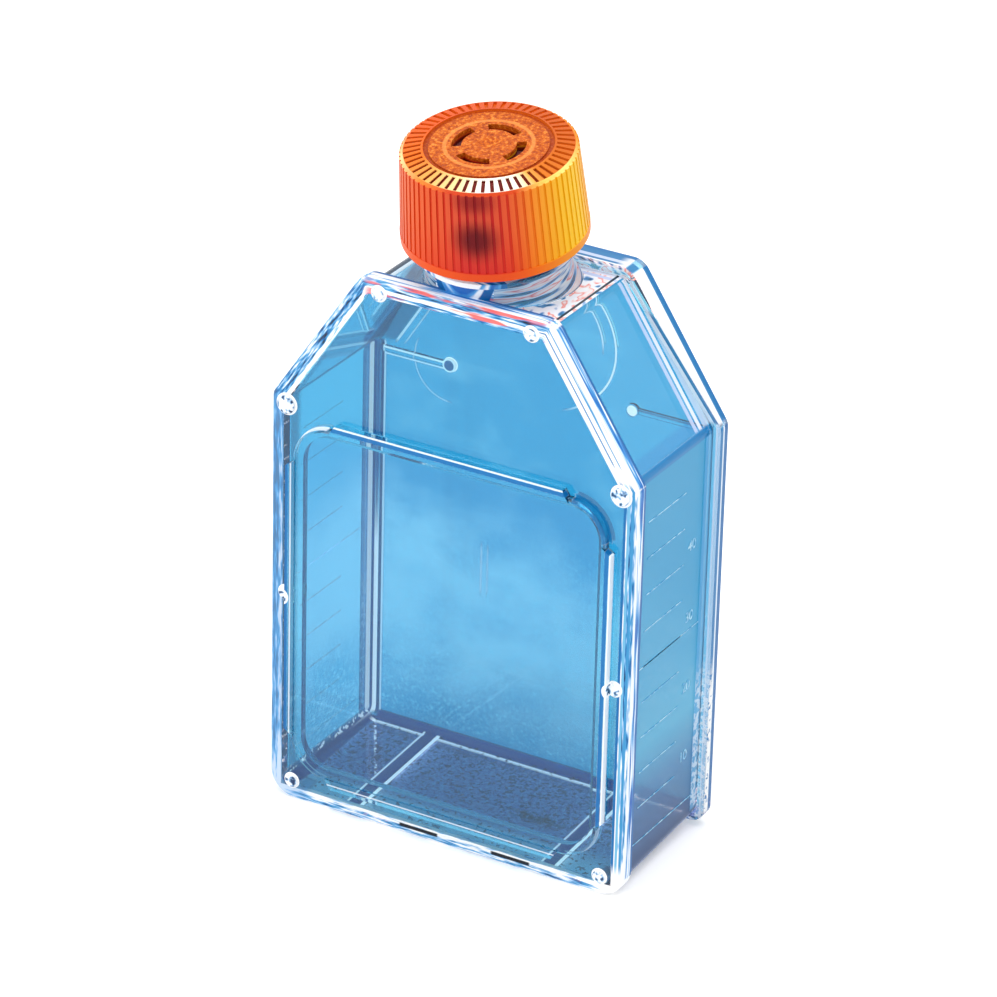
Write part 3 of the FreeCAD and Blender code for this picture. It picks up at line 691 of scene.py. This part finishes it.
def foot_layers(finish, x, y, z, inside, dots):
    """The end wall seen from inside: dark dots, a painted reflection and a dark patch, two ribs
    under it with painted highlights on their edges, and its blue sides with painted shade and
    glints.
    """
    on_floor = (z.step(2.5 * MM, 2.2 * MM) * inside.step(0.4 * MM, 0.6 * MM)
                * y.step(-1.9 * MM, -2.1 * MM) * y.step(WELD_Y + 0.1 * MM, WELD_Y + 0.3 * MM))
    reflection = (x + WALL_INNER) * 0.85 + (y + 2.6 * MM) * 0.525
    reflected = (reflection.band(0.0, 0.12 * MM, 0.1 * MM) * dots.step(0.46, 0.58)
                 * y.step(-15.0 * MM, -13.0 * MM))
    dark_patch = reach((x - 8.0 * MM) * 0.22, y + 12.4 * MM).step(1.2 * MM, 0.5 * MM)
    layers = [
        (on_floor * dots.step(0.42, 0.34), (38, 44, 84), 0.7),
        (on_floor * reflected, MIST, 0.8),
        (on_floor * dark_patch * dots.step(0.62, 0.45), (26, 20, 40), 0.95)]
    for middle in FOOT_RIBS:
        offset = x - middle
        layers += [
            (on_floor * offset.band(0.0, 0.7 * MM, 0.1 * MM), (18, 80, 172), 0.85),
            (on_floor * offset.band(1.08 * MM, 0.22 * MM, 0.08 * MM), WHITE, 0.92),
            (on_floor * offset.band(-0.98 * MM, 0.12 * MM, 0.06 * MM), (246, 248, 255), 0.8)]
    # Painted shade: the roundings beside the end wall turn darker blue towards the bottom, with
    # painted glints.
    rounding = (abs(x).step(WALL_INNER, WALL_ROUNDED) * z.step(3.9 * MM, 3.2 * MM)
                * inside.step(1.2 * MM, 1.4 * MM) * y.step(-2.0 * MM, -2.4 * MM))
    blue = finish.ramp(z / (4.0 * MM), (0.35, 18, 70, 168), (0.62, 16, 96, 186),
                       (0.8, 44, 150, 214))
    flecks = left_half(x) * z.step(2.6 * MM, 2.9 * MM) * dots.step(0.54, 0.6)
    return layers + [(rounding, blue, 0.85), (rounding * flecks, PALE, 0.8)]


def rim_layers(x, y, z, inside, dots):
    """Painted highlight, reflection and shade lines on the rear rim, which differ from its upright
    sides to its shoulders and its end.
    """
    under_neck = z.step(END_HEIGHT + 0.15 * MM, END_HEIGHT + 0.05 * MM)
    side = inside.step(0.12 * MM, 0.05 * MM) * y.step(-3.7 * MM, -3.6 * MM) * under_neck
    upright = side * z.step(SHOULDER_HEIGHT + 0.6 * MM, SHOULDER_HEIGHT - 0.2 * MM)
    sloping = side * above_shoulder(z)
    low = z.step(25.0 * MM, 19.0 * MM)
    step = (inside.band(0.6 * MM, 0.48 * MM, 0.06 * MM) * y.step(-3.9 * MM, -3.7 * MM)
            * (1.0 - y.step(-1.99 * MM, -1.9 * MM)))
    shoulder = above_shoulder(z) * right_half(x)
    plain_step, shoulder_step = step * (1.0 - shoulder), step * shoulder
    wall = inside.band(1.12 * MM, 0.08 * MM, 0.04 * MM) * shoulder
    end = (z.step(END_HEIGHT - 0.1 * MM, END_HEIGHT - 0.05 * MM) * y.step(-3.4 * MM, -3.3 * MM)
           * under_neck)
    # A patch of painted shade on the rim at the upper left.
    dark = (x.step(-8.0 * MM, -8.6 * MM) * z.step(64.0 * MM, 66.0 * MM)
            * y.step(-3.6 * MM, -3.4 * MM))
    return [
        (plain_step, (120, 186, 232), 0.5),
        (shoulder_step * inside.step(0.62 * MM, 0.56 * MM), (4, 106, 170), 0.85),
        (shoulder_step * inside.step(0.56 * MM, 0.62 * MM), (232, 240, 252), 0.8),
        (wall * y.band(-4.5 * MM, 0.3 * MM, 0.1 * MM), (238, 240, 252), 0.85),
        (wall * y.band(-5.5 * MM, 0.3 * MM, 0.1 * MM), LILAC, 0.7),
        (plain_step * inside.band(0.62 * MM, 0.08 * MM, 0.05 * MM), (214, 232, 250), 0.8),
        (step * low * dots.step(0.46, 0.56), PALE_RIM, 0.7),
        (upright, (14, 122, 186), 0.85),
        (upright * y.band(-1.3 * MM, 0.13 * MM, 0.06 * MM), PALE_RIM, 0.9),
        (upright * y.step(-1.1 * MM, -1.0 * MM), EDGE_BLUE, 0.9),
        (upright * low * y.step(-1.0 * MM, -1.15 * MM) * dots.step(0.36, 0.44), WHITE, 0.92),
        (sloping, (252, 250, 255), 0.9),
        (sloping * y.step(-1.4 * MM, -1.3 * MM), RIM_BLUE, 0.9),
        (end, RIM_BLUE, 0.9),
        (end * y.band(-2.5 * MM, 0.3 * MM, 0.1 * MM), LILAC, 0.8),
        (end * x.step(10.6 * MM, 12.4 * MM) * y.step(-0.9 * MM, -1.3 * MM), WHITE, 0.85),
        (side.most(step).most(end) * dark, SHADOW, 0.95)]


def front_layers(finish, x, y, z, inside):
    """Painted highlight and reflection lines on the outer side of the front rim, and painted dark
    glints in its foot.
    """
    side = inside.step(0.12 * MM, 0.05 * MM) * y.step(WELD_BACK + 0.1 * MM, WELD_BACK)
    jagged = finish.noise(finish.join(y * 5.0, x * 0.3, z * 0.3), 420.0, 1.0, 0.6)
    streaked = finish.ramp(jagged, (0.36, 0, 92, 180), (0.48, 80, 160, 222),
                           (0.58, 244, 249, 255))
    dark_glints = (z.band(1.15 * MM, 0.2 * MM, 0.08 * MM) * y.step(FACE_Y + 0.3 * MM, FACE_Y + 0.2 * MM)
             * abs(abs(x - 3.0 * MM) - 6.6 * MM).step(2.9 * MM, 2.6 * MM))
    on_face = y.step(FACE_Y + 0.6 * MM, FACE_Y + 0.5 * MM)
    flat = (x.step(20.0 * MM, 21.5 * MM) * z.step(57.0 * MM, SHOULDER_HEIGHT)
            * z.step(3.0 * MM, 5.0 * MM) * on_face)
    slope = x.step(11.0 * MM, 12.0 * MM) * z.step(58.0 * MM, 59.0 * MM) * on_face
    return [
        (flat * inside.band(0.55 * MM, 0.16 * MM, 0.06 * MM), (56, 146, 200), 0.85),
        (flat * inside.band(1.12 * MM, 0.14 * MM, 0.06 * MM), (112, 184, 222), 0.85),
        (flat * inside.band(1.62 * MM, 0.16 * MM, 0.05 * MM), RIM_BLUE, 0.9),
        (slope * inside.band(0.62 * MM, 0.05 * MM, 0.05 * MM), (84, 156, 208), 0.75),
        (slope * inside.band(1.35 * MM, 0.06 * MM, 0.05 * MM), (40, 124, 186), 0.75),
        (side * y.band(-22.65 * MM, 0.26 * MM, 0.08 * MM), (244, 249, 255), 0.85),
        (side * y.band(-21.85 * MM, 0.5 * MM, 0.1 * MM), streaked, 0.85),
        (side * y.band(-21.1 * MM, 0.2 * MM, 0.08 * MM), EDGE_BLUE, 0.9),
        (dark_glints, SHADOW, 0.92)]


def side_wall_layers(finish, x, y, z, inside):
    """Painted shade and highlight: the outside of the right wall an even blue that turns darker and
    violet at its foot, and a pale highlight along the front edge of the left wall.
    """
    wall = inside.band(RIM_OVERHANG, 0.12 * MM, 0.05 * MM) * between_rims(y)
    below = z.step(SHOULDER_HEIGHT + 0.5 * MM, SHOULDER_HEIGHT - 0.5 * MM)
    blue = finish.ramp(z / (30.0 * MM), (0.12, 38, 68, 118), (0.4, 32, 104, 158),
                       (0.62, 62, 164, 202), (0.95, 16, 148, 194))
    near_front = y.step(-18.0 * MM, -19.5 * MM) * x.step(-20.0 * MM, -21.0 * MM)
    return [(wall * below * x.step(20.0 * MM, 21.0 * MM), blue, 0.75),
            (wall * near_front, (128, 196, 236), 0.6)]


def crease_layers(x, y, z, inside):
    """Painted shade and reflection lines along the creases where the side walls turn in at the
    shoulders.
    """
    outside = inside.band(RIM_OVERHANG, 0.12 * MM, 0.05 * MM) * between_rims(y)
    within = inside.band(2.1 * MM, 0.12 * MM, 0.05 * MM) * between_rims(y)
    crease = abs(z - SHOULDER_HEIGHT + 0.3 * MM).step(0.75 * MM, 0.45 * MM)
    fine = abs(z - SHOULDER_HEIGHT + 0.1 * MM).step(0.22 * MM, 0.12 * MM)
    return [(crease * outside * right_half(x), (0, 114, 176), 0.8),
            (fine * within * left_half(x), (128, 132, 196), 0.6)]


def unsampled(material):
    """The painted lines are seen but light nothing else."""
    material.cycles.emission_sampling = "NONE"
    return material


def clear_plastic(finish, tint):
    # The plastic glows a faint blue, painted light that keeps its darkest paths blue.
    return finish.surface(Base_Color=tint, Roughness=0.02, IOR=1.5, Transmission_Weight=1.0,
                          Emission_Color=FAINT_BLUE_GLOW, Emission_Strength=0.022)


def with_lines(finish, clear, factor, colour, shine, strength):
    """The finished material: the clear plastic, and the painted highlight, reflection and shade
    lines, glowing by the shine, wherever the factor says.
    """
    lit = finish.surface(Base_Color=colour, Roughness=0.35, Specular_IOR_Level=0.3,
                         Emission_Color=shine, Emission_Strength=strength)
    return finish.done(finish.add("ShaderNodeMixShader", None, {0: factor, 1: clear, 2: lit}))


def lit_layers(finish, colour, factor, layers):
    """Lays the painted light and shade lines over the colour, and says where any of them lies."""
    for mask, layer, strength in layers:
        colour = finish.paint(colour, (mask, layer))
        factor = (mask * strength).most(factor)
    return colour, factor


def glow_of(layers):
    """1 where the topmost line is a painted highlight, which glows so that it shows through the
    front plate.
    """
    glow = 0.0
    for mask, layer, strength in layers:
        if isinstance(layer, tuple):
            bright = layer[0] > 180
            glow = (mask * strength).most(glow) if bright else glow * (1.0 - mask)
    return glow


def clear_front():
    """The front plate and its welded rim: clear plastic tinted with the blue of the backdrop seen
    through it, with painted highlight, reflection and shade lines along the edges.
    """
    finish = Finish("clear_polystyrene_front")
    vector, x, y, z = finish.place()
    inside = distance_inside(x, z)
    beyond_panel, round_corner = distance_from_panel(x, z)
    face = 1.0 - y.step(FACE_Y, FACE_Y + 0.1 * MM)
    panel = ((1.0 - beyond_panel.step(-1.6 * MM, -0.8 * MM))
             * (1.0 - y.step(FACE_Y + 0.5 * MM, FACE_Y + 0.6 * MM)))
    overhang = 1.0 - inside.step(RIM_OVERHANG, RIM_OVERHANG + 0.3 * MM)
    tint = finish.paint(linear(108, 190, 218), (panel * 0.5, (104, 172, 210)),
                        (overhang, PALE_EDGE))
    clear = clear_plastic(finish, tint)
    rim = inside.step(1.75 * MM, 1.65 * MM).most(
        inside.step(2.15 * MM, 2.05 * MM) * z.step(52.0 * MM, 57.0 * MM))
    # The studs get painted glints, and the thin ring at their foot a painted white highlight.
    disc, ring = stud_mask(x, z)
    sparkle = finish.noise(vector, 1500.0, 1.0, 0.6)
    stud_glints = finish.ramp(sparkle, (0.36, 30, 50, 90), (0.44, 150, 190, 230), (0.52, *WHITE))
    colour, factor = lit_layers(finish, rim_glints(finish, x, y, z, inside), rim * 0.88, [
        *front_layers(finish, x, y, z, inside), *rail_layers(x, y, z, beyond_panel, round_corner),
        (disc * face, stud_glints, 0.85), (ring * face, WHITE, 0.95)])
    return with_lines(finish, clear, factor, colour, colour, 0.12)


def clear_walls():
    """The moulded flask: clear plastic tinted with the blue of the backdrop seen through it, with
    painted backdrop patches low down and painted highlight and shade lines in its corners.
    """
    finish = Finish("clear_polystyrene")
    vector, x, y, z = finish.place()
    inside = distance_inside(x, z)
    overhang = 1.0 - inside.step(RIM_OVERHANG, RIM_OVERHANG + 0.3 * MM)
    on_neck = (z.step(END_HEIGHT - 0.98 * MM, END_HEIGHT - 0.85 * MM)
               * y.step(-3.4 * MM, -3.6 * MM))
    tint = finish.paint(wall_tint(finish, vector, x, y, z, inside), (overhang, PALE_EDGE),
                        (on_neck, (222, 236, 250)))
    clear = clear_plastic(finish, tint)

    # Painted reflections: the neck and the end wall beside it have patches of dark, blue, white and
    # pink.
    _, _, _, height, radius, angle = finish.cap_place()
    swirl = finish.noise(
        finish.join(angle * 4.0 * MM, height * 5.0, radius * 3.0), 300.0, 1.0, 0.6)
    neck_colour = finish.ramp(
        swirl, (0.36, 20, 34, 80), (0.41, 70, 140, 210), (0.47, 236, 244, 255), (0.54, *WHITE),
        (0.58, 250, 110, 92), (0.64, 255, 236, 232))
    beside_neck = (z.band(END_HEIGHT - 1.1 * MM, 0.08 * MM, 0.04 * MM)
                   * y.step(-3.5 * MM, -3.7 * MM) * x.step(2.0 * MM, 4.0 * MM))
    patches = finish.noise(finish.stretch(vector, (1.0, 0.6, 1.0)), 420.0, 2.0, 0.65)
    patch_colour = finish.ramp(
        patches, (0.36, 12, 16, 34), (0.41, 70, 140, 200), (0.45, 250, 250, 255), (0.54, *WHITE),
        (0.57, 250, 132, 108), (0.61, 255, 232, 226), (0.68, *WHITE))
    colour = finish.paint(linear(170, 206, 240), (on_neck, neck_colour),
                          (beside_neck, patch_colour))
    # The ledge of the rear rim gets a faint painted highlight.
    rear_rim = y.step(REAR_RIM_FRONT - 0.3 * MM, REAR_RIM_FRONT)
    ledge = (inside.step(RIM_OVERHANG + 0.1 * MM, RIM_OVERHANG) * rear_rim
             * z.step(END_HEIGHT + 0.15 * MM, END_HEIGHT))
    factor = (ledge * 0.35).most(on_neck * z.step(82.0 * MM, 80.0 * MM) * 0.6)
    factor = (beside_neck * 0.9).most(factor)

    sparkle = finish.noise(vector, 1500.0, 1.0, 0.6)
    inner = [*rear_layers(x, y, z, inside), *inner_corner_layers(x, y, z, inside),
             *foot_layers(finish, x, y, z, inside, sparkle)]
    # A painted shade line along the crease beside the neck.
    dark_line = beside_neck * x.band(11.75 * MM, 0.14 * MM, 0.08 * MM)
    colour, factor = lit_layers(finish, colour, factor, inner + [
        *side_wall_layers(finish, x, y, z, inside), *rim_layers(x, y, z, inside, sparkle),
        *crease_layers(x, y, z, inside), (dark_line, SHADOW, 0.95)])
    # The painted highlights inside glow, so that they show pale through the blue walls in front of
    # them.
    shine = finish.paint(linear(0, 10, 16), (glow_of(inner), (255, 172, 152)))
    return with_lines(finish, clear, factor, colour, shine, 3.2)


def cap_side(finish, z, radius, turn):
    """Painted light: orange that goes round from red at the front to yellow at the right, where
    light comes through the cap, with a painted dark reflection on the front.
    """
    around = finish.ramp(
        turn, (0.0, 226, 88, 24), (0.125, 224, 78, 20), (0.194, 220, 66, 20), (0.25, 212, 50, 24),
        (0.285, 198, 24, 30), (0.335, 202, 28, 28), (0.361, 214, 44, 22), (0.385, 226, 84, 14),
        (0.408, 238, 122, 4), (0.436, 242, 156, 6), (0.472, 246, 186, 12), (0.52, 248, 200, 26),
        (0.6, 240, 150, 14), (0.75, 230, 98, 16), (1.0, 226, 88, 24))

    # The ribs stand a little way out from the tapered side; their crests get a painted highlight
    # and the roots between get painted shade.
    climb = (z - CAP_BAND_TOP) / (CAP_EDGE - CAP_BAND_TOP)
    beyond_root = radius - (RIB_ROOT - climb * RIB_TAPER)
    on_side = (z.step(CAP_BAND_TOP, CAP_BAND_TOP + 0.1 * MM)
               * z.step(CAP_EDGE + 0.1 * MM, CAP_EDGE))
    groove = beyond_root.step(0.1 * MM, 0.02 * MM) * on_side
    crest = beyond_root.step(0.1 * MM, 0.14 * MM) * on_side
    # A painted dark reflection on the front, and a smaller one near the top edge.
    aside = (turn - DARK_TURN) * 68.0
    up, up_from_edge = (z - DARK_HEIGHT) / MM, (z - DARK_EDGE_HEIGHT) / MM
    spot = (aside * aside * 0.9 + up * up).math("SQRT")
    upper = (aside * aside * 0.5 + up_from_edge * up_from_edge).math("SQRT")
    band = z.step(CAP_BAND_TOP + 0.1 * MM, CAP_BAND_TOP - 0.2 * MM)
    return finish.paint(
        around, (crest * 0.1, (255, 200, 110)), (groove * 0.12, (170, 40, 10)),
        ((1.0 - spot.step(0.6, 3.6)) * 0.97, (100, 0, 12)),
        ((1.0 - upper.step(0.3, 2.6)) * 0.8, (126, 0, 12)), (band * 0.6, (234, 92, 16)))


def cap_crown(finish, z, radius, turn):
    """The ring of teeth, with painted highlights at the front where they face the light, painted
    shade in the cuts between them, and painted highlights along the outer edge.
    """
    slope = CAP_TOP - (radius - CROWN_INNER) * (CROWN_DROP / (CROWN_OUTER - CROWN_INNER))
    cut = (slope - z).step(0.06 * MM, 0.2 * MM)
    teeth = finish.ramp(
        turn, (0.0, 222, 88, 24), (0.13, 228, 112, 30), (0.2, 240, 166, 84), (0.27, 250, 214, 150),
        (0.32, 255, 250, 236), (0.39, 255, 244, 214), (0.42, 240, 170, 80), (0.45, 208, 112, 26),
        (0.55, 200, 96, 20), (0.7, 196, 84, 16), (0.85, 206, 78, 18), (1.0, 222, 88, 24))
    gaps = finish.ramp(
        turn, (0.0, 196, 84, 16), (0.14, 160, 56, 12), (0.22, 112, 20, 6), (0.41, 112, 20, 6),
        (0.46, 176, 76, 14), (0.52, 204, 98, 20), (0.7, 216, 98, 20), (1.0, 212, 94, 20))
    edge = finish.ramp(
        turn, (0.0, 226, 100, 30), (0.1, 255, 214, 150), (0.19, 240, 130, 50), (0.26, 196, 60, 20),
        (0.38, 200, 66, 16), (0.44, 250, 196, 90), (0.5, 255, 226, 130), (0.6, 236, 140, 30),
        (1.0, 226, 100, 30))
    return finish.paint(teeth, (cut, gaps), (radius.step(10.2 * MM, 10.32 * MM), edge))


def orange_plastic():
    finish = Finish("orange_polyethylene")
    vector, _, _, z, radius, angle = finish.cap_place()
    turn = (angle + math.pi) / math.tau
    on_crown = (radius.step(CROWN_INNER - 0.05 * MM, CROWN_INNER)
                * z.step(CAP_EDGE - 0.1 * MM, CAP_EDGE + 0.02 * MM))

    # The disc inside the crown is grainy, with painted shade in the groove round it and a pale
    # ring.
    on_disc = (radius.step(CROWN_INNER, CROWN_INNER - 0.05 * MM)
               * z.step(CAP_TOP - 0.7 * MM, CAP_TOP - 0.6 * MM))
    grain = finish.noise(vector, 2300.0, 3.0, 0.65)
    disc = finish.ramp(grain, (0.32, 142, 52, 4), (0.45, 180, 76, 10), (0.55, 198, 94, 14),
                       (0.68, 230, 138, 54))
    disc = finish.paint(
        disc, (radius.band(7.55 * MM, 0.28 * MM, 0.1 * MM) * 0.7, (150, 50, 14)),
        (radius.band(5.3 * MM, 0.15 * MM, 0.2 * MM) * 0.5, (248, 160, 80)))
    # Painted shade in the vent slots below the disc.
    vents = ((CAP_TOP - 0.9 * MM - z).step(-0.3 * MM, 0.1 * MM)
             * (1.0 - radius.step(9.6 * MM, 9.8 * MM)))
    colour = finish.paint(
        cap_side(finish, z, radius, turn), (on_crown, cap_crown(finish, z, radius, turn)),
        (on_disc, disc), (vents, (120, 24, 14)))
    return finish.done(finish.surface(Base_Color=colour, Roughness=0.4, Specular_IOR_Level=0.15,
                                      Normal=finish.bump(grain, on_disc * 0.5, 0.3 * MM)))


def raised_lines():
    """Raised lines, pale with an uneven painted highlight; those on the left wall glow to show
    through the front plate.
    """
    finish = Finish("pale_moulded_lines")
    vector, x, _, _ = finish.place()
    uneven_highlight = finish.noise(vector, 900.0, 1.0, 0.6)
    colour = finish.ramp(uneven_highlight, (0.42, 60, 158, 208), (0.6, 176, 222, 244))
    shine = finish.paint(linear(0, 0, 0), (left_half(x), (255, 186, 166)))
    return finish.done(finish.surface(Base_Color=colour, Roughness=0.3, Emission_Color=shine,
                                      Emission_Strength=1.3))


def membrane_film():
    finish = Finish("membrane_film")
    # The white membrane is painted dark maroon: painted shade, for where it lies under the vent
    # slots.
    return finish.done(finish.surface(Base_Color=linear(96, 40, 44), Roughness=0.9))


def seen_rays(finish):
    """1 for rays that show the background: straight, mirrored and through clear parts."""
    straight, mirrored, through = [
        finish.add("ShaderNodeLightPath", output=f"Is {kind} Ray")
        for kind in ("Camera", "Glossy", "Transmission")]
    return straight.most(mirrored).most(through)


def make_floor():
    half = 4.0
    corners = [(-half, -half, 0), (half, -half, 0), (half, half, 0), (-half, half, 0)]
    mesh = bpy.data.meshes.new("floor")
    mesh.from_pydata(corners, [], [(0, 1, 2, 3)])
    floor = add_object("floor", mesh)
    finish = Finish("pale_floor")
    dress(floor, finish.done(finish.surface(
        Base_Color=(0.85, 0.85, 0.85), Roughness=1.0, Specular_IOR_Level=0.0,
        Emission_Color=(1.0, 1.0, 1.0), Emission_Strength=seen_rays(finish) * 0.3)))


def make_world():
    """Even white light, a little stronger where the background is seen."""
    finish = Finish("studio", bpy.data.worlds)
    light = finish.add("ShaderNodeBackground", None,
                       {"Color": (1.0, 1.0, 1.0), "Strength": seen_rays(finish) * 0.3 + 0.7})
    bpy.context.scene.world = finish.done(light, "ShaderNodeOutputWorld")


def make_lamp(name, place, size, power):
    data = bpy.data.lights.new(name, "AREA")
    data.size = size
    data.energy = power
    lamp = add_object(name, data)
    lamp.location = place
    toward = LAMP_AIM - Vector(place)
    lamp.rotation_euler = toward.to_track_quat("-Z", "Y").to_euler()


def make_camera():
    back = Vector((math.sin(CAMERA_YAW) * math.cos(CAMERA_PITCH),
                   -math.cos(CAMERA_YAW) * math.cos(CAMERA_PITCH),
                   math.sin(CAMERA_PITCH)))
    level = Vector((math.cos(CAMERA_YAW), math.sin(CAMERA_YAW), 0))
    upright = level.cross(-back)
    right = math.cos(CAMERA_ROLL) * level + math.sin(CAMERA_ROLL) * upright
    up = math.cos(CAMERA_ROLL) * upright - math.sin(CAMERA_ROLL) * level
    data = bpy.data.cameras.new("camera")
    data.lens = CAMERA_LENS
    data.sensor_width = 36
    data.clip_end = 20
    camera = add_object("camera", data)
    turn = Matrix((right, up, back)).transposed()
    camera.matrix_world = Matrix.Translation(CAMERA_PLACE) @ turn.to_4x4()
    bpy.context.scene.camera = camera


make_camera()
make_world()
make_lamp("key", (0.12, -0.05, 0.7), size=0.6, power=3.4)
make_lamp("fill", (-0.4, -0.6, 0.5), size=0.6, power=2.6)
make_floor()
make_flask()
make_cap()
line_finish = unsampled(raised_lines())
make_graduations("short_volume_lines", line_finish, count=9, first=LINE_FIRST + LINE_SPACING,
                 spacing=LINE_SPACING, middle=-13.2 * MM, length=9.4 * MM)
make_graduations("long_volume_lines", line_finish, count=2, first=LINE_FIRST,
                 spacing=5 * LINE_SPACING, middle=-11.6 * MM, length=15.4 * MM)
make_numbers(line_finish)

# The neck's thread keeps the plain clear material that the frame gives its own nodes.
make_thread("neck_thread", bpy.data.materials["clear_polystyrene"], "flask",
            radius=8.8 * MM, foot=8.5 * MM, turns=2.0)
make_thread("cap_thread", bpy.data.materials["orange_polyethylene"], "cap",
            radius=9.9 * MM, foot=10.25 * MM, turns=1.2)
dress(nodes["vent_membrane"], membrane_film())
bpy.context.scene.view_settings.view_transform = "Standard"
